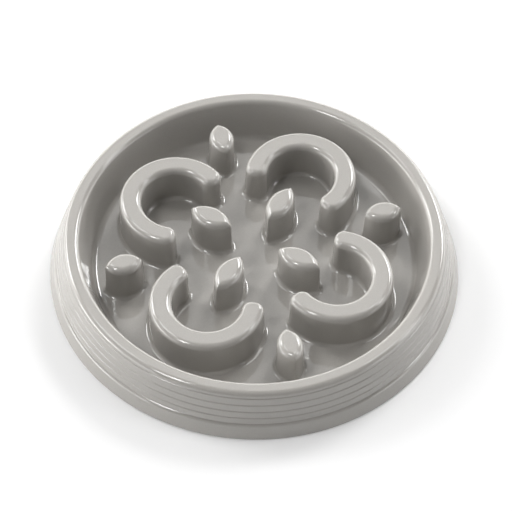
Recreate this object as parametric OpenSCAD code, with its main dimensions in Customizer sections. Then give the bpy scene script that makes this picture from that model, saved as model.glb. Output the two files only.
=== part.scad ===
// Slow feeder bowl: a round, one-piece moulded dish with C-shaped ridges and leaf-shaped
// posts standing in the food well, a terraced skirt that flares out to a plain foot band,
// and rubber foot pads set in sockets under the floor.
// The origin is the middle of the base on the table, +Z is up, and lengths are millimetres.

/* [Food well] */
// Diameter of the well at the rim
mouth_d = 238.2; // [226:0.2:260]
// Height of the rim above the table
bowl_h = 36.3; // [33:0.1:44]
// Height of the food floor above the table
floor_z = 7.5; // [6.5:0.1:10]
// Lean of the well wall from upright, in degrees
wall_lean = 17.5; // [12:0.5:19]
// Fillet where the wall meets the floor
well_fillet = 4.5; // [3:0.1:6]
// Thickness of the moulding
wall_t = 2.6; // [2:0.1:3]

/* [Rim] */
// Width of the rim, from the well to the first groove
rim_w = 10.1; // [8.4:0.1:14]
// Rounding of the rim's inner edge
rim_in_round = 3.6; // [0.5:0.1:4]
// Rounding of the rim's outer edge
rim_out_round = 3.8; // [2:0.1:4.4]

/* [Skirt] */
// How far the skirt flares out between the rim and the foot band
skirt_flare = 6; // [4:0.1:16]
// How far the skirt bows out from a straight flare
skirt_bulge = 0.5; // [0.2:0.1:2]
// Number of terraces on the skirt
terrace_n = 4; // [2:1:6]
// How far each terrace's shoulder stands out from the groove above it
terrace_step = 0.7; // [0.3:0.05:1]
// Rounding of each terrace's shoulder
terrace_round = 1.1; // [0.8:0.1:1.6]
// Height of the foot band above the table
band_h = 12.2; // [10:0.1:18]
// How far the foot band steps out from the last groove
band_step = 2.1; // [1.2:0.1:3]
// Rounding of the foot band's shoulder
band_round = 3.2; // [2:0.1:4]
// How far the foot band widens from its shoulder down to its lower edge
band_lean = 2.7; // [0.2:0.1:3.4]
// Rounding of the skirt's lower edge
edge_round = 0.8; // [0.3:0.1:1.1]

/* [C ridges] */
// Radius of a ridge's centre line
ridge_r = 30.95; // [29:0.05:33]
// Width of a ridge at its top
ridge_w = 14.9; // [13:0.1:16.4]
// Angle that the gap in a ridge takes, in degrees
ridge_gap_angle = 118; // [100:1:150]
// Rounding of a ridge end's corners, seen from above
ridge_corner = 5; // [4.6:0.1:5.8]
// Floor left between a ridge and the well's fillet
ridge_wall_gap = 4.95; // [4:0.05:7]

/* [Leaf posts] */
// Width of a post at its top
leaf_w = 17.2; // [13:0.1:19]
// Length of a post by the wall
outer_leaf_l = 26; // [21:0.5:28]
// Length of a post near the middle
inner_leaf_l = 32; // [26:0.5:34]
// Floor left between an outer post's tip and the well's fillet
outer_leaf_gap = 3.2; // [3:0.1:8]
// Distance from a ridge's centre to the tip of the inner post in its gap
inner_leaf_gap = 12.4; // [11.4:0.1:15]

/* [Ridge and post edges] */
// How far their tops lie below the rim
top_drop = 0.4; // [0:0.1:3]
// Rounding of their top edges
top_round = 3.9; // [1:0.1:4.2]
// Lean of their sides from upright, in degrees
side_lean = 1.5; // [0.5:0.1:2.5]
// Fillet where they meet the floor
base_fillet = 2.8; // [1.5:0.1:3.2]

/* [Webs under the skirt] */
// Number of webs between the well wall and the skirt
web_n = 16; // [8:4:24]
// Thickness of a web
web_t = 1.6; // [1:0.1:2.4]
// Height of the webs' lower edges above the table
web_z = 9; // [6:0.5:9.5]

/* [Foot pads] */
// Diameter of a foot pad
pad_d = 15; // [12:0.5:16]
// How far the pads lift the skirt's edge off the table
pad_lift = 0.6; // [0.4:0.1:1.5]
// How far a pad stands out of its socket
pad_proud = 1.6; // [1.2:0.1:2.4]
// Chamfer round the foot of a pad
pad_chamfer = 0.5; // [0.2:0.1:0.8]
// Width of the grip groove in a pad's foot
pad_groove_w = 1.6; // [1:0.1:2]
// Depth of the grip groove in a pad's foot
pad_groove_t = 0.5; // [0.3:0.1:0.8]
// Diameter of the plain middle of a pad's foot, inside its groove
pad_eye_d = 5; // [3:0.5:6]
// Wall of a pad socket
socket_t = 2.4; // [1.6:0.1:3]
// Clearance between a pad and its socket, on the radius
pad_clear = 0.1; // [0.05:0.05:0.3]
// Floor left between a socket and the well's fillet
socket_wall_gap = 0.9; // [0.3:0.1:3]
// Angle between a socket and the outer post beside it, in degrees
socket_angle = 17.5; // [16:0.5:19]

/* [Hidden] */
$fn = 96;

shell_colour = [0.67, 0.66, 0.64];
rubber_colour = [0.2, 0.2, 0.2];

// Steps in a large rounding or fillet, and in a small one
round_steps = 4;
small_steps = 3;
// Overrun of every cut
over = 1;
// How far a piece of the moulding runs into the wall that carries it
bite = 0.8;
// How far a base fillet runs below the floor, so that it meets it at an angle
fillet_sink = 0.15;
// How far the pieces of a ridge end lie inside each other's faces, so that none coincide
nest = 0.02;

// The pattern repeats four times round the bowl, with its posts on the axes
fold_n = 4;
fold_angle = 360 / fold_n;

// The well: its wall line, its floor and the fillet between them
mouth_r = mouth_d / 2;
wall_slope = tan(wall_lean);
wall_foot_r = mouth_r - (bowl_h - floor_z) * wall_slope;
fillet_reach = well_fillet * tan((90 - wall_lean) / 2);
floor_r = wall_foot_r - fillet_reach;
floor_under_z = floor_z - wall_t;
wall_out_shift = wall_t / cos(wall_lean);

// The rim and the skirt, with the crown of the hollow between them and the wall
crown_z = bowl_h - wall_t;
groove_r = mouth_r + rim_w;
groove_z = bowl_h - rim_out_round;
skirt_r = groove_r + skirt_flare;
base_r = skirt_r + band_step + band_lean;
terrace_h = (groove_z - band_h) / terrace_n;

// The ridges and the posts
ridge_out_r = ridge_r + ridge_w / 2;
ridge_in_r = ridge_r - ridge_w / 2;
top_z = bowl_h - top_drop;
side_slope = tan(side_lean);
side_foot = (top_z - top_round - floor_z) * side_slope;
ridge_place_r = floor_r - ridge_wall_gap - ridge_out_r - side_foot;
outer_leaf_r = floor_r - outer_leaf_gap - outer_leaf_l / 2;
inner_leaf_r = ridge_place_r - inner_leaf_gap - inner_leaf_l / 2;

// The ridge's round part ends where its corners begin, a little before the gap
ridge_end_angle = ridge_gap_angle / 2 + atan(ridge_corner / ridge_r);

// The foot pads in their sockets
socket_in_r = pad_d / 2 + pad_clear;
socket_out_r = socket_in_r + socket_t;
socket_place_r = floor_r - socket_wall_gap - socket_out_r;
pad_h = floor_under_z;

// Points on an arc about c, from angle a to angle b
function arc(c, r, a, b, steps) =
    [for (i = [0 : steps]) c + r * [cos(a + (b - a) * i / steps), sin(a + (b - a) * i / steps)]];

// The same list without its first point
function tail(list) = [for (i = [1 : len(list) - 1]) list[i]];

// Radius of the well wall at height z
function wall_r(z) = mouth_r - (bowl_h - z) * wall_slope;

// Radius of the skirt's grooves at height z, on a flare that bows out in the middle
function skirt_share(z) = (groove_z - z) / (groove_z - band_h);
function skirt_line_r(z) = groove_r + skirt_flare * skirt_share(z)
    + 4 * skirt_bulge * skirt_share(z) * (1 - skirt_share(z));

// The groove at height z
function groove(z) = [skirt_line_r(z), z];

// A round shoulder that starts in groove p, stands out by step and ends where a straight
// face to q leaves it smoothly
function shoulder(p, q, step, round_r) =
    let (start_angle = acos(1 - step / round_r),
         c = p + [step - round_r, -round_r * sin(start_angle)],
         face_lean = atan2(q[1] - c[1], q[0] - c[0]) + acos(round_r / norm(q - c)))
    arc(c, round_r, start_angle, face_lean, small_steps);

// One terrace below groove i: its shoulder, its face and the next groove
function terrace(i) =
    let (top = groove(groove_z - i * terrace_h),
         foot = groove(groove_z - (i + 1) * terrace_h))
    concat(tail(shoulder(top, foot, terrace_step, terrace_round)), [foot]);

// The seen side of the shell: floor, fillet, wall, rim, terraces and foot band
function seen_side() = concat(
    [[0, floor_z]],
    arc([floor_r, floor_z + well_fillet], well_fillet, -90, -wall_lean, round_steps),
    arc([mouth_r + rim_in_round * tan((90 - wall_lean) / 2), bowl_h - rim_in_round],
        rim_in_round, 180 - wall_lean, 90, small_steps),
    arc([groove_r - rim_out_round, bowl_h - rim_out_round], rim_out_round, 90, 0, round_steps),
    [for (i = [0 : terrace_n - 1]) each terrace(i)],
    tail(shoulder(groove(band_h), [base_r, pad_lift + edge_round], band_step, band_round)),
    arc([base_r - edge_round, pad_lift + edge_round], edge_round, 0, -90, small_steps));

// Radius of the skirt's hidden side at height z: straight from the crown to the band's top,
// and straight again from there to the lower edge
function skirt_in_r(z) = z > band_h
    ? groove_r - wall_t + skirt_flare * skirt_share(z)
    : skirt_r - wall_t + (base_r - edge_round - skirt_r) * (band_h - z) / (band_h - pad_lift);

// The hidden side, back from the skirt's lower edge to the middle of the floor
function hidden_side() = concat(
    [[skirt_in_r(pad_lift), pad_lift],
     [skirt_in_r(band_h), band_h],
     [skirt_in_r(crown_z), crown_z],
     [wall_r(crown_z) + wall_out_shift, crown_z]],
    arc([floor_r, floor_z + well_fillet], well_fillet + wall_t, -wall_lean, -90, small_steps),
    [[0, floor_under_z]]);

module shell() {
    rotate_extrude() polygon(concat(seen_side(), hidden_side()));
}

// Edge of a ridge or post, drawn in by inset: from its top, round and down to its fillet and
// below the floor, as points that say how far out and how high
function raised_edge(inset) =
    let (foot_z = floor_z - fillet_sink + base_fillet,
         foot_out = (top_z - top_round - foot_z) * side_slope)
    concat(arc([-top_round - inset, top_z - top_round - inset], top_round, 90, 0, small_steps),
           arc([foot_out + base_fillet - inset, foot_z], base_fillet, 180, 270, small_steps),
           [[foot_out + base_fillet - inset, floor_z - fillet_sink - bite]]);

// Section of a raised piece whose edge lies at r, filled back to in_r
function raised_section(in_r, r, inset) = concat(
    [[in_r, top_z - inset]],
    [for (p = raised_edge(inset)) [r + p[0], p[1]]],
    [[in_r, floor_z - fillet_sink - bite]]);

// Section of a ridge, with an edge on its outer and its inner side
function ridge_section() =
    let (edge = raised_edge(0))
    concat([for (p = edge) [ridge_out_r + p[0], p[1]]],
           [for (i = [len(edge) - 1 : -1 : 0]) [ridge_in_r - edge[i][0], edge[i][1]]]);

// One end of a ridge on its +Y side: two round corners and the straight face between them
module ridge_end() {
    for (r = [ridge_in_r + ridge_corner, ridge_out_r - ridge_corner])
        translate([r, 0]) rotate_extrude() polygon(raised_section(0, ridge_corner, nest));
    translate([ridge_in_r + ridge_corner, 0])
        rotate([90, 0, 90])
            linear_extrude(ridge_w - 2 * ridge_corner)
                polygon(raised_section(-bite, ridge_corner, 2 * nest));
}

// A ridge round its own centre, with its gap towards +X
module ridge() {
    rotate([0, 0, ridge_end_angle])
        rotate_extrude(angle = 360 - 2 * ridge_end_angle) polygon(ridge_section());
    rotate([0, 0, ridge_end_angle]) mirror([0, 1, 0]) ridge_end();
    rotate([0, 0, -ridge_end_angle]) ridge_end();
}

// The hollow inside a ridge, open below
module ridge_core() {
    core_top = top_z - wall_t;
    spread = (core_top + over) * side_slope;
    rotate([0, 0, ridge_end_angle])
        rotate_extrude(angle = 360 - 2 * ridge_end_angle)
            polygon([[ridge_in_r + wall_t, core_top],
                     [ridge_out_r - wall_t, core_top],
                     [ridge_out_r - wall_t + spread, -over],
                     [ridge_in_r + wall_t - spread, -over]]);
}

// Radius of the two drums whose overlap is a leaf of length l
function leaf_drum_r(l) = (l * l + leaf_w * leaf_w) / (4 * leaf_w);

module drum(r) {
    rotate_extrude() polygon(raised_section(0, r, 0));
}

// A leaf post along X, the overlap of two drums with crisp tips where they cross
module leaf(l) {
    drum_r = leaf_drum_r(l);
    intersection() {
        translate([0, drum_r - leaf_w / 2]) drum(drum_r);
        translate([0, leaf_w / 2 - drum_r]) drum(drum_r);
    }
}

// The hollow inside a leaf post, open below
module leaf_core(l) {
    drum_r = leaf_drum_r(l);
    core_top = top_z - wall_t;
    spread = (core_top + over) * side_slope;
    intersection() {
        translate([0, drum_r - leaf_w / 2, -over])
            cylinder(h = core_top + over, r1 = drum_r - wall_t + spread, r2 = drum_r - wall_t);
        translate([0, leaf_w / 2 - drum_r, -over])
            cylinder(h = core_top + over, r1 = drum_r - wall_t + spread, r2 = drum_r - wall_t);
    }
}

// Copies at every fold of the pattern, turned by a and set out by r along X
module folds(a, r) {
    for (i = [0 : fold_n - 1]) rotate([0, 0, a + i * fold_angle]) translate([r, 0]) children();
}

module ridges_and_posts() {
    folds(fold_angle / 2, ridge_place_r) rotate([0, 0, 180]) ridge();
    folds(fold_angle / 2, inner_leaf_r) leaf(inner_leaf_l);
    folds(0, outer_leaf_r) leaf(outer_leaf_l);
}

module cores() {
    folds(fold_angle / 2, ridge_place_r) rotate([0, 0, 180]) ridge_core();
    folds(fold_angle / 2, inner_leaf_r) leaf_core(inner_leaf_l);
    folds(0, outer_leaf_r) leaf_core(outer_leaf_l);
}

// Upright webs that tie the skirt to the well wall and bite into both
module webs() {
    web_top = crown_z + bite;
    wall_bite = wall_out_shift - bite;
    for (i = [0 : web_n - 1])
        rotate([0, 0, (i + 1 / 2) * 360 / web_n])
            rotate([90, 0, 0])
                translate([0, 0, -web_t / 2])
                    linear_extrude(web_t)
                        polygon([[wall_r(web_z) + wall_bite, web_z],
                                 [skirt_in_r(web_z) + bite, web_z],
                                 [skirt_in_r(band_h) + bite, band_h],
                                 [skirt_in_r(web_top) + bite, web_top],
                                 [wall_r(web_top) + wall_bite, web_top]]);
}

// Places of the pad sockets, one on each side of every outer post
function socket_place(i) = floor(i / 2) * fold_angle + (i % 2 == 0 ? -socket_angle : socket_angle);

module at_socket(i) {
    rotate([0, 0, socket_place(i)]) translate([socket_place_r, 0]) children();
}

module sockets() {
    for (i = [0 : 2 * fold_n - 1])
        at_socket(i)
            translate([0, 0, pad_proud])
                difference() {
                    cylinder(h = floor_under_z - pad_proud + bite, r = socket_out_r);
                    translate([0, 0, -over])
                        cylinder(h = floor_under_z - pad_proud + over, r = socket_in_r);
                }
}

module bowl_moulding() {
    color(shell_colour) {
        difference() {
            union() {
                shell();
                ridges_and_posts();
            }
            cores();
        }
        webs();
        sockets();
    }
}

// A rubber pad that lies against the floor's underside, with a grip groove in its foot
module foot_pad(i) {
    color(rubber_colour)
        at_socket(i)
            rotate_extrude()
                polygon([[0, 0],
                         [pad_eye_d / 2, 0],
                         [pad_eye_d / 2, pad_groove_t],
                         [pad_eye_d / 2 + pad_groove_w, pad_groove_t],
                         [pad_eye_d / 2 + pad_groove_w, 0],
                         [pad_d / 2 - pad_chamfer, 0],
                         [pad_d / 2, pad_chamfer],
                         [pad_d / 2, pad_h],
                         [0, pad_h]]);
}

module foot_pad_1() { foot_pad(0); }
module foot_pad_2() { foot_pad(1); }
module foot_pad_3() { foot_pad(2); }
module foot_pad_4() { foot_pad(3); }
module foot_pad_5() { foot_pad(4); }
module foot_pad_6() { foot_pad(5); }
module foot_pad_7() { foot_pad(6); }
module foot_pad_8() { foot_pad(7); }

bowl_moulding();
foot_pad_1();
foot_pad_2();
foot_pad_3();
foot_pad_4();
foot_pad_5();
foot_pad_6();
foot_pad_7();
foot_pad_8();
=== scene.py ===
import math

import bmesh
import bpy
import numpy as np
from mathutils import Matrix, Vector
from mathutils.geometry import delaunay_2d_cdt


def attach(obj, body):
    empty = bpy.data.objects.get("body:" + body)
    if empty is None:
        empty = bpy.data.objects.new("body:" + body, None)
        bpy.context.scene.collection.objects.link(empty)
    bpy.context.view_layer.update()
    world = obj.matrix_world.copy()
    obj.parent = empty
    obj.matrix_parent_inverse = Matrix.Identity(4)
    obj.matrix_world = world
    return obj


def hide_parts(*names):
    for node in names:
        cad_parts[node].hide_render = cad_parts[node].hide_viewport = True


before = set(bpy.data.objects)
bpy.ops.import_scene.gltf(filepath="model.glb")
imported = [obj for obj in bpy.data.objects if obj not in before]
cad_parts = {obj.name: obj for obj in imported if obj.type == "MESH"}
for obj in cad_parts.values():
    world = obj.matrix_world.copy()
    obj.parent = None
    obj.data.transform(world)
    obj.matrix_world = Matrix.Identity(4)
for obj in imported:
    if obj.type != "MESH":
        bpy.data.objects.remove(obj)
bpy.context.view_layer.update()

# Shell of the bowl
# One injection moulding in warm grey gloss plastic: the food well, the flat rim and the
# terraced skirt are one sheet, which hangs down round the well to a plain foot band.
# The bowl's lengths are millimetres, and turn into metres as points are made.

MM = 0.001
mouth_r = 119.1
bowl_h = 36.3
floor_z = 7.5
wall_lean = 17.5
well_fillet = 4.5
wall_t = 2.6
rim_w = 10.1
rim_in_round = 3.6
rim_out_round = 3.8
skirt_flare = 6
skirt_bulge = 0.5
terrace_n = 4
terrace_step = 0.7
terrace_round = 1.1
groove_soft = 0.22
band_h = 12.2
band_step = 2.1
band_round = 3.2
band_lean = 2.7
edge_round = 0.8
pad_lift = 0.6
shell_turns = 384
guard = 0.4
floor_guard = 0.1
shell_crease = 32

wall_slope = math.tan(math.radians(wall_lean))
half_corner = math.tan(math.radians((90 - wall_lean) / 2))
floor_r = mouth_r - (bowl_h - floor_z) * wall_slope - well_fillet * half_corner
floor_under_z = floor_z - wall_t
crown_z = bowl_h - wall_t
groove_r = mouth_r + rim_w
groove_z = bowl_h - rim_out_round
skirt_r = groove_r + skirt_flare
base_r = skirt_r + band_step + band_lean
terrace_h = (groove_z - band_h) / terrace_n


def arc(centre, radius, start, end, steps):
    points = []
    for i in range(steps + 1):
        angle = math.radians(start + (end - start) * i / steps)
        points.append((centre[0] + radius * math.cos(angle),
                       centre[1] + radius * math.sin(angle)))
    return points


def wall_r(z):
    return mouth_r - (bowl_h - z) * wall_slope


def skirt_share(z):
    return (groove_z - z) / (groove_z - band_h)


def groove(z):
    share = skirt_share(z)
    return (groove_r + skirt_flare * share + 4 * skirt_bulge * share * (1 - share), z)


def shoulder(top, foot, step, radius):
    start = math.degrees(math.acos(1 - step / radius))
    centre = (top[0] + step - radius, top[1] - radius * math.sin(math.radians(start)))
    away = Vector(foot) - Vector(centre)
    lean = math.degrees(math.atan2(away.y, away.x) + math.acos(radius / away.length))
    return arc(centre, radius, start, lean, steps=8)


def guarded(points):
    """Adds a point just inside both ends of each long straight, so that flats stay flat."""
    out = [points[0]]
    for a, b in zip(points, points[1:]):
        length = math.dist(a, b)
        if length > 4 * guard:
            for share in (guard / length, 1 - guard / length):
                out.append((a[0] + (b[0] - a[0]) * share, a[1] + (b[1] - a[1]) * share))
        out.append(b)
    return out


def softened(points, corner, reach):
    """Rounds off one inside corner of a profile."""
    at = points.index(corner)
    before, after = Vector(points[at - 1]), Vector(points[at + 1])
    middle = Vector(corner)
    start = middle + (before - middle).normalized() * reach
    end = middle + (after - middle).normalized() * reach
    bend = [start.lerp(middle, t).lerp(middle.lerp(end, t), t) for t in (0, 0.25, 0.5, 0.75, 1)]
    return points[:at] + [tuple(p) for p in bend] + points[at + 1:]


seen = arc((floor_r, floor_z + well_fillet), well_fillet, -90, -wall_lean, steps=12)
seen += arc((mouth_r + rim_in_round * half_corner, bowl_h - rim_in_round), rim_in_round,
            180 - wall_lean, 90, steps=10)
seen += arc((groove_r - rim_out_round, bowl_h - rim_out_round), rim_out_round, 90, 0, steps=12)
grooves = []
for i in range(terrace_n):
    top = groove(groove_z - i * terrace_h)
    foot = groove(groove_z - (i + 1) * terrace_h)
    seen += shoulder(top, foot, terrace_step, terrace_round)[1:]
    seen.append(foot)
    grooves.append(foot)
seen += shoulder(groove(band_h), (base_r, pad_lift + edge_round), band_step, band_round)[1:]
seen += arc((base_r - edge_round, pad_lift + edge_round), edge_round, 0, -90, steps=6)
for foot in grooves:
    seen = softened(seen, foot, groove_soft)
seen = [(floor_r - floor_guard, floor_z)] + guarded(seen)


def skirt_in_r(z):
    if z > band_h:
        return groove_r - wall_t + skirt_flare * skirt_share(z)
    drop = (band_h - z) / (band_h - pad_lift)
    return skirt_r - wall_t + (base_r - edge_round - skirt_r) * drop


hidden = [(skirt_in_r(pad_lift), pad_lift),
          (skirt_in_r(band_h), band_h),
          (skirt_in_r(crown_z), crown_z),
          (wall_r(crown_z) + wall_t / math.cos(math.radians(wall_lean)), crown_z)]
hidden += arc((floor_r, floor_z + well_fillet), well_fillet + wall_t, -wall_lean, -90, steps=10)
hidden = guarded(hidden) + [(floor_r - guard, floor_under_z)]

shell = bmesh.new()
SEEN_SIDE, HIDDEN_SIDE = 0, 1


def loop(mesh, outline, z):
    return [mesh.verts.new((x * MM, y * MM, z * MM)) for x, y in outline]


def skin(mesh, first, second, side):
    for i in range(len(first)):
        j = (i + 1) % len(first)
        face = mesh.faces.new((first[i], first[j], second[j], second[i]))
        face.material_index = side


def circle(radius, turns, centre=(0, 0)):
    return arc(centre, radius, 0, 360, turns)[:-1]


seen_rings = [loop(shell, circle(r, shell_turns), z) for r, z in seen]
hidden_rings = [loop(shell, circle(r, shell_turns), z) for r, z in hidden]
for a, b in zip(seen_rings, seen_rings[1:]):
    skin(shell, a, b, SEEN_SIDE)
skin(shell, seen_rings[-1], hidden_rings[0], SEEN_SIDE)
for a, b in zip(hidden_rings, hidden_rings[1:]):
    skin(shell, a, b, HIDDEN_SIDE)

# C ridges
# Four open rings that stand in the well, in the same shot as the shell, hollow from below.
# Each opens towards the middle of the bowl, and its ends are square with rounded corners.

ridge_r = 30.95
ridge_w = 14.9
ridge_gap_angle = 118
ridge_corner = 6.6
ridge_wall_gap = 4.95
top_drop = 0.4
top_round = 3.9
side_lean = 1.5
base_fillet = 2.8
core_round = 1.0
mouth_round = 0.5
sharpest = 0.1
wall_shares = (0.03, 0.25, 0.5, 0.75, 0.97)
core_shares = (0.05, 0.5, 0.95)
folds = 4
quarter = 90
diagonal = 45

top_z = bowl_h - top_drop
side_slope = math.tan(math.radians(side_lean))
ridge_out_r = ridge_r + ridge_w / 2
ridge_in_r = ridge_r - ridge_w / 2
ridge_end_angle = ridge_gap_angle / 2 + math.degrees(math.atan(ridge_corner / ridge_r))
side_foot = (top_z - top_round - floor_z) * side_slope
ridge_place_r = floor_r - ridge_wall_gap - ridge_out_r - side_foot


def ridge_outline(inset):
    """The ridge seen from above, drawn in by inset, with its gap towards +X."""
    end = math.radians(ridge_end_angle)
    across, along = Vector((math.cos(end), math.sin(end))), Vector((math.sin(end), -math.cos(end)))
    corner = max(ridge_corner - inset, sharpest)
    setback = ridge_corner - inset - corner
    half = []
    for radius, start in ((ridge_out_r - inset - corner, 0), (ridge_in_r + inset + corner, 90)):
        middle = across * radius + along * setback
        for p, q in arc((0, 0), corner, start, start + 90, steps=10):
            half.append(tuple(middle + across * p + along * q))
    first, last = half[0], half[-1]
    outer = arc((0, 0), math.hypot(*first), 180, math.degrees(math.atan2(first[1], first[0])), steps=64)
    inner = arc((0, 0), math.hypot(*last), math.degrees(math.atan2(last[1], last[0])), 180, steps=48)
    half = outer[:-1] + half + inner[1:]
    return half + [(x, -y) for x, y in half[-2:0:-1]]


def placed(outline, angle, out):
    turn = math.radians(angle)
    c, s = math.cos(turn), math.sin(turn)
    return [((x + out) * c - y * s, (x + out) * s + y * c) for x, y in outline]


def raised_levels(fillet, rounding):
    """How far in from the edge and how high, from the floor up over the rounded top edge."""
    foot_z = floor_z + fillet
    wall_top = top_z - rounding
    foot_out = (wall_top - foot_z) * side_slope
    levels = [(-foot_out - fillet - floor_guard, floor_z)]
    levels += [(-r, z) for r, z in arc((foot_out + fillet, foot_z), fillet, 270, 180, steps=10)]
    for share in wall_shares:
        z = foot_z + (wall_top - foot_z) * share
        levels.append((-(wall_top - z) * side_slope, z))
    levels += [(-r, z) for r, z in arc((-rounding, wall_top), rounding, 0, 90, steps=12)]
    levels.append((rounding + guard, top_z))
    return levels


def core_levels():
    """The same for the hollow below, from its mouth up to its rounded roof."""
    roof = top_z - wall_t

    def draft(z):
        return wall_t - (roof - z) * side_slope

    mouth = draft(floor_under_z + mouth_round)
    levels = [(mouth - mouth_round - guard, floor_under_z)]
    levels += [(r, z) for r, z in arc((mouth - mouth_round, floor_under_z + mouth_round),
                                      mouth_round, -90, 0, steps=4)]
    for share in core_shares:
        z = floor_under_z + mouth_round + (roof - core_round - floor_under_z - mouth_round) * share
        levels.append((draft(z), z))
    levels += arc((draft(roof - core_round) + core_round, roof - core_round), core_round,
                  180, 90, steps=5)
    levels.append((draft(roof - core_round) + core_round + guard, roof))
    return levels


grid_step = 6
grid_clear = 2.2
all_triangles = 0
same_point = 1e-6


def inside(points, polygon):
    """Which of the points lie inside a polygon, by counting the edges that each one passes."""
    x, y = points[:, :1], points[:, 1:]
    a, b = polygon, np.roll(polygon, -1, axis=0)
    crosses = (a[:, 1] > y) != (b[:, 1] > y)
    rise = np.where(b[:, 1] == a[:, 1], 1, b[:, 1] - a[:, 1])
    edge_x = a[:, 0] + (y - a[:, 1]) * (b[:, 0] - a[:, 0]) / rise
    return (crosses & (x < edge_x)).sum(axis=1) % 2 == 1


def on_flat(points, outlines):
    """Which of the points lie inside the first outline and outside the others."""
    keep = inside(points, outlines[0])
    for outline in outlines[1:]:
        keep &= ~inside(points, outline)
    return keep


def lay_flat(rim, holes, side):
    """Fills the flat between a rim and its holes with even triangles."""
    loops = [rim] + holes
    verts = [v for ring in loops for v in ring]
    plan = np.array([v.co[:2] for v in verts]) / MM
    outlines = [np.array([v.co[:2] for v in ring]) / MM for ring in loops]
    low, high = outlines[0].min(axis=0), outlines[0].max(axis=0)
    rows = np.arange(low[1], high[1], grid_step * math.sqrt(3) / 2)
    grid = np.array([(x + (row % 2) * grid_step / 2, y) for row, y in enumerate(rows)
                     for x in np.arange(low[0], high[0], grid_step)])
    near = np.sqrt(((grid[:, None] - plan[None]) ** 2).sum(axis=2)).min(axis=1)
    grid = grid[(near > grid_clear) & on_flat(grid, outlines)]
    edges = []
    start = 0
    for ring in loops:
        edges += [(start + i, start + (i + 1) % len(ring)) for i in range(len(ring))]
        start += len(ring)
    points = [Vector(p) for p in np.concatenate([plan, grid])]
    flat, _, faces, origin, _, _ = delaunay_2d_cdt(points, edges, [], all_triangles,
                                                        same_point)
    z = rim[0].co.z
    made = []
    for place, from_input in zip(flat, origin):
        known = [i for i in from_input if i < len(verts)]
        if known:
            made.append(verts[known[0]])
        else:
            made.append(shell.verts.new((place[0] * MM, place[1] * MM, z)))
    centres = np.array([[sum(flat[i][k] for i in face) / 3 for k in (0, 1)] for face in faces])
    for face, kept in zip(faces, on_flat(centres, outlines)):
        if kept:
            shell.faces.new([made[i] for i in face]).material_index = side


def raise_piece(outline_of, angle, out, levels, side):
    """Skins one raised piece or its core and closes its top. Returns the loop at its foot."""
    rings = [loop(shell, placed(outline_of(inset), angle, out), z) for inset, z in levels]
    for a, b in zip(rings, rings[1:]):
        skin(shell, a, b, side)
    lay_flat(rings[-1], [], side)
    return rings[0]


floor_holes = []
under_holes = []


def stand(outline_of, angle, out, fillet, rounding):
    """Stands one piece on the floor and hollows it from below."""
    levels = raised_levels(fillet, rounding)
    floor_holes.append(raise_piece(outline_of, angle, out, levels, SEEN_SIDE))
    under_holes.append(raise_piece(outline_of, angle, out, core_levels(), HIDDEN_SIDE))


for fold in range(folds):
    angle = diagonal + quarter * fold

    def turned_ridge(inset):
        return [(-x, -y) for x, y in ridge_outline(inset)]

    stand(turned_ridge, angle, ridge_place_r, base_fillet, top_round)

# Leaf posts
# Eight upright posts with a leaf's outline and narrow tips, moulded with the floor and hollow
# from below. Four stand by the wall, and four longer ones in the mouths of the C ridges.

leaf_w = 17.2
outer_leaf_l = 26
inner_leaf_l = 32
outer_leaf_gap = 3.2
inner_leaf_gap = 12.4
leaf_tip = 1.3
outer_fillet = 2.4
leaf_top_round = 4.6

outer_leaf_r = floor_r - outer_leaf_gap - outer_leaf_l / 2
inner_leaf_r = ridge_place_r - inner_leaf_gap - inner_leaf_l / 2


def leaf_outline(length, inset):
    """Two arcs that meet at slightly rounded tips on the X axis, drawn in by inset."""
    drum = (length ** 2 + leaf_w ** 2) / (4 * leaf_w)
    offset = drum - leaf_w / 2
    tip = max(leaf_tip - inset, sharpest)
    radius = drum - inset
    tip_x = math.sqrt((radius - tip) ** 2 - offset ** 2)
    spread = math.degrees(math.atan2(offset, tip_x))
    points = arc((tip_x, 0), tip, -spread, spread, steps=8)
    points += arc((0, -offset), radius, spread, 180 - spread, steps=40)[1:-1]
    points += arc((-tip_x, 0), tip, 180 - spread, 180 + spread, steps=8)
    points += arc((0, offset), radius, 180 + spread, 360 - spread, steps=40)[1:-1]
    return points


for length, first_angle, out, fillet in ((outer_leaf_l, 0, outer_leaf_r, outer_fillet),
                                         (inner_leaf_l, diagonal, inner_leaf_r, base_fillet)):
    for fold in range(folds):
        angle = first_angle + quarter * fold

        def leaf(inset):
            return leaf_outline(length, inset)

        stand(leaf, angle, out, fillet, leaf_top_round)

# Floor of the well
# The flat of the same moulding between the wall and everything that stands on it, with its
# underside, which has the mouths of the hollows in it.

lay_flat(seen_rings[0], floor_holes, SEEN_SIDE)
lay_flat(hidden_rings[-1], under_holes, HIDDEN_SIDE)

# Webs and pad sockets
# Sixteen thin webs tie the skirt to the well wall, and eight short tubes under the floor take
# the foot pads. All are moulded with the shell and are seen only from below.

web_n = 16
web_t = 1.6
web_z = 9
web_edge = 0.35
bite = 0.8
pad_d = 15
pad_proud = 1.6
socket_t = 2.4
pad_clear = 0.1
socket_wall_gap = 0.9
socket_angle = 17.5
socket_lip = 0.5
socket_turns = 64

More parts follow.
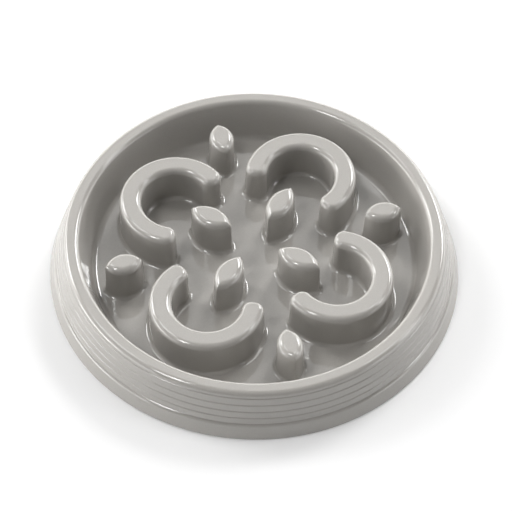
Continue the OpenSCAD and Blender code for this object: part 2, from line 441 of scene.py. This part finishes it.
web_top = crown_z + bite
wall_bite = wall_t / math.cos(math.radians(wall_lean)) - bite
web_outline = [(wall_r(web_z) + wall_bite, web_z),
               (skirt_in_r(web_z) + bite, web_z),
               (skirt_in_r(band_h) + bite, band_h),
               (skirt_in_r(web_top) + bite, web_top),
               (wall_r(web_top) + wall_bite, web_top)]
for i in range(web_n):
    turn = Matrix.Rotation(math.radians((i + 0.5) * 360 / web_n), 3, "Z")
    sides = []
    for inset, across in ((web_edge, -web_t / 2), (0, web_edge - web_t / 2),
                          (0, web_t / 2 - web_edge), (web_edge, web_t / 2)):
        ring = []
        for r, z in web_outline:
            low = inset if z == web_z else 0
            ring.append(shell.verts.new(turn @ Vector((r * MM, across * MM, (z + low) * MM))))
        sides.append(ring)
    for a, b in zip(sides, sides[1:]):
        skin(shell, a, b, HIDDEN_SIDE)
    shell.faces.new(sides[0]).material_index = HIDDEN_SIDE
    shell.faces.new(sides[-1]).material_index = HIDDEN_SIDE

socket_in_r = pad_d / 2 + pad_clear
socket_out_r = socket_in_r + socket_t
socket_place_r = floor_r - socket_wall_gap - socket_out_r
socket_places = []
for fold in range(folds):
    for aside in (-socket_angle, socket_angle):
        angle = math.radians(quarter * fold + aside)
        socket_places.append((socket_place_r * math.cos(angle),
                              socket_place_r * math.sin(angle)))

lip_z = pad_proud + socket_lip
socket_section = [(socket_in_r, floor_under_z + bite)]
socket_section += arc((socket_in_r + socket_lip, lip_z), socket_lip, 180, 270, steps=4)
socket_section += arc((socket_out_r - socket_lip, lip_z), socket_lip, 270, 360, steps=4)
socket_section.append((socket_out_r, floor_under_z + bite))
for place in socket_places:
    rings = [loop(shell, circle(r, socket_turns, place), z) for r, z in socket_section]
    for a, b in zip(rings, rings[1:] + rings[:1]):
        skin(shell, a, b, HIDDEN_SIDE)

bmesh.ops.recalc_face_normals(shell, faces=shell.faces[:])
shell_mesh = bpy.data.meshes.new("bowl_shell")
shell.to_mesh(shell_mesh)
shell.free()
shell_mesh.shade_smooth()
shell_mesh.set_sharp_from_angle(angle=math.radians(shell_crease))
bowl = bpy.data.objects.new("bowl_shell", shell_mesh)
bpy.context.collection.objects.link(bowl)

# Gloss of the shell
# Warm grey gloss plastic from a polished mould: even colour with faint flow clouds and fine
# pigment grain, a clear gloss with hairline rubs, and a trace of ripple over broad faces.

shell_grey = (0.375, 0.36, 0.337, 1)


def link(tree, start, end):
    tree.links.new(start, end)


def noise(tree, where, scale, detail=3):
    texture = tree.nodes.new("ShaderNodeTexNoise")
    texture.inputs["Scale"].default_value = scale
    texture.inputs["Detail"].default_value = detail
    link(tree, where, texture.inputs["Vector"])
    return texture.outputs["Fac"]


def spread(tree, value, low, high):
    """Spreads a noise about its middle over low to high."""
    ranger = tree.nodes.new("ShaderNodeMapRange")
    ranger.inputs["From Min"].default_value = 0.25
    ranger.inputs["From Max"].default_value = 0.75
    ranger.inputs["To Min"].default_value = low
    ranger.inputs["To Max"].default_value = high
    link(tree, value, ranger.inputs["Value"])
    return ranger.outputs["Result"]


def worked(tree, operation, a, b=0.0):
    """One sum, on numbers or on what other nodes give."""
    maths = tree.nodes.new("ShaderNodeMath")
    maths.operation = operation
    for value, end in zip((a, b), maths.inputs):
        if isinstance(value, (int, float)):
            end.default_value = value
        else:
            link(tree, value, end)
    return maths.outputs["Value"]


def tinted(tree, colour, strength):
    """A colour made lighter and darker by a strength near 1."""
    tint = tree.nodes.new("ShaderNodeMix")
    tint.data_type = "RGBA"
    tint.blend_type = "MULTIPLY"
    tint.inputs["Factor"].default_value = 1
    tint.inputs["A"].default_value = colour
    link(tree, strength, tint.inputs["B"])
    return tint.outputs["Result"]


def bumped(tree, height, distance, normal=None):
    bump = tree.nodes.new("ShaderNodeBump")
    bump.inputs["Strength"].default_value = 1
    bump.inputs["Distance"].default_value = distance
    link(tree, height, bump.inputs["Height"])
    if normal:
        link(tree, normal, bump.inputs["Normal"])
    return bump.outputs["Normal"]


def new_finish(name):
    finish = bpy.data.materials.new(name)
    finish.use_nodes = True
    tree = finish.node_tree
    where = tree.nodes.new("ShaderNodeTexCoord").outputs["Object"]
    return finish, tree, tree.nodes["Principled BSDF"], where


gloss, tree, surface, where = new_finish("gloss_grey_plastic")
clouds = spread(tree, noise(tree, where, scale=14), low=0.985, high=1.015)
grain = spread(tree, noise(tree, where, scale=1400, detail=2), low=0.96, high=1.04)
link(tree, tinted(tree, shell_grey, worked(tree, "MULTIPLY", clouds, grain)),
     surface.inputs["Base Color"])
stretch = tree.nodes.new("ShaderNodeMapping")
stretch.inputs["Scale"].default_value = (1, 14, 14)
stretch.inputs["Rotation"].default_value = (0, 0, 0.5)
link(tree, where, stretch.inputs["Vector"])
rubs = spread(tree, noise(tree, stretch.outputs["Vector"], scale=60, detail=5),
              low=-0.01, high=0.015)
haze = spread(tree, noise(tree, where, scale=30), low=0.045, high=0.065)
link(tree, worked(tree, "ADD", haze, rubs), surface.inputs["Roughness"])
ripple = bumped(tree, noise(tree, where, scale=45, detail=1), distance=0.00003)
fine_grain = noise(tree, where, scale=2200, detail=2)
link(tree, bumped(tree, fine_grain, distance=0.000002, normal=ripple), surface.inputs["Normal"])
surface.inputs["IOR"].default_value = 1.54
surface.inputs["Specular IOR Level"].default_value = 0.7

# The side that isn't seen comes from a spark-eroded mould half, so it is dull and grainy.
dull, tree, surface, where = new_finish("dull_grey_plastic")
clouds = spread(tree, noise(tree, where, scale=18), low=0.97, high=1.02)
grain = spread(tree, noise(tree, where, scale=900, detail=3), low=0.975, high=1.02)
link(tree, tinted(tree, shell_grey, worked(tree, "MULTIPLY", clouds, grain)),
     surface.inputs["Base Color"])
link(tree, spread(tree, noise(tree, where, scale=350), low=0.42, high=0.56),
     surface.inputs["Roughness"])
link(tree, bumped(tree, noise(tree, where, scale=1300, detail=3), distance=0.00003),
     surface.inputs["Normal"])
surface.inputs["IOR"].default_value = 1.54

shell_mesh.materials.append(gloss)
shell_mesh.materials.append(dull)
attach(bowl, "root")
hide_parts("bowl_moulding")

# Foot pads
# Eight soft rubber discs pressed into the sockets under the floor. Each stands out a little,
# so that the skirt's edge clears the table, and has a ring-shaped grip groove in its foot.
# The photograph doesn't show them, so their number and form are a guess.

pad_h = floor_under_z
pad_edge = 0.5
pad_groove_w = 1.6
pad_groove_t = 0.5
pad_eye_d = 5
groove_edge = 0.2
pad_turns = 72
pad_crease = 50
rubber_grey = (0.035, 0.035, 0.037, 1)

rubber, tree, surface, where = new_finish("dark_rubber")
bloom = spread(tree, noise(tree, where, scale=120, detail=4), low=0.8, high=1.3)
link(tree, tinted(tree, rubber_grey, bloom), surface.inputs["Base Color"])
link(tree, spread(tree, noise(tree, where, scale=500), low=0.6, high=0.8),
     surface.inputs["Roughness"])
link(tree, bumped(tree, noise(tree, where, scale=1600, detail=4), distance=0.00004),
     surface.inputs["Normal"])

eye_r = pad_eye_d / 2
trench_r = eye_r + pad_groove_w
pad_section = [(eye_r - groove_edge, 0), (eye_r, groove_edge),
               (eye_r, pad_groove_t - groove_edge), (eye_r + groove_edge, pad_groove_t),
               (trench_r - groove_edge, pad_groove_t), (trench_r, pad_groove_t - groove_edge),
               (trench_r, groove_edge), (trench_r + groove_edge, 0)]
pad_section += arc((pad_d / 2 - pad_edge, pad_edge), pad_edge, -90, 0, steps=6)
pad_section += arc((pad_d / 2 - groove_edge, pad_h - groove_edge), groove_edge, 0, 90, steps=3)
pad_section = guarded(pad_section)
for number, place in enumerate(socket_places, 1):
    pad = bmesh.new()
    rings = [loop(pad, circle(r, pad_turns, place), z) for r, z in pad_section]
    for a, b in zip(rings, rings[1:]):
        skin(pad, a, b, 0)
    pad.faces.new(rings[0])
    pad.faces.new(rings[-1])
    bmesh.ops.recalc_face_normals(pad, faces=pad.faces[:])
    mesh = bpy.data.meshes.new(f"rubber_pad_{number}")
    pad.to_mesh(mesh)
    pad.free()
    mesh.shade_smooth()
    mesh.set_sharp_from_angle(angle=math.radians(pad_crease))
    mesh.materials.append(rubber)
    piece = bpy.data.objects.new(f"rubber_pad_{number}", mesh)
    bpy.context.collection.objects.link(piece)
    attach(piece, "root")
    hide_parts(f"foot_pad_{number}")

# Table
# A seamless sweep of white paper under the bowl. It glows a little where it is looked at, so
# that it comes out pale and still keeps the bowl's soft shadow.

photo_turn = -15.68
floor_size = 12
table_glow = 0.2

table_mesh = bpy.data.meshes.new("table")
half_floor = floor_size / 2
table_mesh.from_pydata([(-half_floor, -half_floor, 0), (half_floor, -half_floor, 0),
                        (half_floor, half_floor, 0), (-half_floor, half_floor, 0)],
                       [], [(0, 1, 2, 3)])
table = bpy.data.objects.new("table", table_mesh)
bpy.context.collection.objects.link(table)
white = bpy.data.materials.new("white_sweep")
white.use_nodes = True
tree = white.node_tree
tree.nodes.clear()
paper = tree.nodes.new("ShaderNodeBsdfDiffuse")
paper.inputs["Color"].default_value = (0.7, 0.7, 0.7, 1)
lift = tree.nodes.new("ShaderNodeEmission")
lift.inputs["Color"].default_value = (1, 1, 1, 1)
ray = tree.nodes.new("ShaderNodeLightPath")
seen_ray = worked(tree, "MAXIMUM", ray.outputs["Is Camera Ray"], ray.outputs["Is Glossy Ray"])
seen_ray = worked(tree, "MAXIMUM", seen_ray, ray.outputs["Is Transmission Ray"])
link(tree, worked(tree, "MULTIPLY", seen_ray, table_glow), lift.inputs["Strength"])
both = tree.nodes.new("ShaderNodeAddShader")
out = tree.nodes.new("ShaderNodeOutputMaterial")
link(tree, paper.outputs["BSDF"], both.inputs[0])
link(tree, lift.outputs["Emission"], both.inputs[1])
link(tree, both.outputs["Shader"], out.inputs["Surface"])
table_mesh.materials.append(white)

# Studio
# Bright panels with soft ends stand round the bowl, and the side where the camera stands is
# dim. Each panel has its bearings in degrees, with the photograph's far side at 0 and its right
# at 90, then the degrees up at which it begins and ends, then its brightness.

panel_softness = 0.25
room_light = 0.03
panels = [((-133, -112), (0, 14), 5),
          ((-112, -82), (0, 14), 12),
          ((-82, -42), (0, 14), 6.5),
          ((-42, 5), (0, 14), 3.8),
          ((5, 65), (0, 14), 5.5),
          ((65, 92), (0, 14), 4),
          ((92, 122), (0, 14), 4),
          ((-130, -42), (14, 66), 0.4),
          ((-66, -43), (29, 45), 11),
          ((-50, -28), (58, 69), 7),
          ((-131, -113), (56, 70), 19),
          ((18, 50), (14, 36), 1.6),
          ((20, 43), (35, 47), 19),
          ((28, 50), (58, 69), 7),
          ((-30, 15), (42, 62), 1.2),
          ((50, 92), (14, 62), 0.3),
          ((74, 92), (36, 47), 9)]

world = bpy.data.worlds.new("studio")
bpy.context.scene.world = world
world.use_nodes = True
tree = world.node_tree
tree.nodes.clear()


def between(value, ends):
    """1 between two angles and 0 outside, with soft ends."""
    ranger = tree.nodes.new("ShaderNodeMapRange")
    ranger.interpolation_type = "SMOOTHSTEP"
    reach = (ends[1] - ends[0]) / 2
    ranger.inputs["From Min"].default_value = reach * (1 + panel_softness)
    ranger.inputs["From Max"].default_value = reach * (1 - panel_softness)
    away = worked(tree, "ABSOLUTE", worked(tree, "SUBTRACT", value, (ends[0] + ends[1]) / 2))
    link(tree, away, ranger.inputs["Value"])
    return ranger.outputs["Result"]


turned = tree.nodes.new("ShaderNodeVectorRotate")
turned.rotation_type = "Z_AXIS"
turned.inputs["Angle"].default_value = -math.radians(photo_turn)
link(tree, tree.nodes.new("ShaderNodeTexCoord").outputs["Generated"], turned.inputs["Vector"])
parts = tree.nodes.new("ShaderNodeSeparateXYZ")
link(tree, turned.outputs["Vector"], parts.inputs["Vector"])
bearing = worked(tree, "DEGREES", worked(tree, "ARCTAN2", parts.outputs["X"], parts.outputs["Y"]))
height = worked(tree, "DEGREES", worked(tree, "ARCSINE", parts.outputs["Z"]))
glow = room_light
for bearings, heights, brightness in panels:
    panel = worked(tree, "MULTIPLY", between(bearing, bearings), between(height, heights))
    glow = worked(tree, "ADD", worked(tree, "MULTIPLY", panel, brightness), glow)
studio = tree.nodes.new("ShaderNodeBackground")
link(tree, glow, studio.inputs["Color"])
bright = tree.nodes.new("ShaderNodeBackground")
bright.inputs["Color"].default_value = (1, 1, 1, 1)
ray = tree.nodes.new("ShaderNodeLightPath")
seen_ray = worked(tree, "MAXIMUM", ray.outputs["Is Camera Ray"],
                  ray.outputs["Is Transmission Ray"])
mix = tree.nodes.new("ShaderNodeMixShader")
out = tree.nodes.new("ShaderNodeOutputWorld")
link(tree, seen_ray, mix.inputs["Fac"])
link(tree, studio.outputs["Background"], mix.inputs[1])
link(tree, bright.outputs["Background"], mix.inputs[2])
link(tree, mix.outputs["Shader"], out.inputs["Surface"])

# Camera
# A long lens about 1.4 m away, which looks down at 53 degrees and is rolled by one degree, as
# in the photograph.

camera_distance = 1.4288
camera_height_angle = 53.228
aim_right, aim_up, roll = 0.0007, 0.0054, 0.0207
lens = 146.07

height_angle = math.radians(camera_height_angle)
place = camera_distance * Vector((0, -math.cos(height_angle), math.sin(height_angle)))
ahead = -place.normalized()
right = ahead.cross(Vector((0, 0, 1))).normalized()
up = right.cross(ahead)
ahead = (ahead + math.tan(aim_right) * right + math.tan(aim_up) * up).normalized()
right = ahead.cross(Vector((0, 0, 1))).normalized()
up = right.cross(ahead)
c, s = math.cos(roll), math.sin(roll)
right, up = c * right + s * up, c * up - s * right
axes = Matrix((right, up, -ahead)).transposed().to_4x4()
camera_data = bpy.data.cameras.new("camera")
camera_data.sensor_width = 36
camera_data.lens = lens
camera = bpy.data.objects.new("camera", camera_data)
turn = Matrix.Rotation(math.radians(photo_turn), 4, "Z")
camera.matrix_world = turn @ Matrix.Translation(place) @ axes
bpy.context.collection.objects.link(camera)
bpy.context.scene.camera = camera
bpy.context.scene.view_settings.view_transform = "Standard"
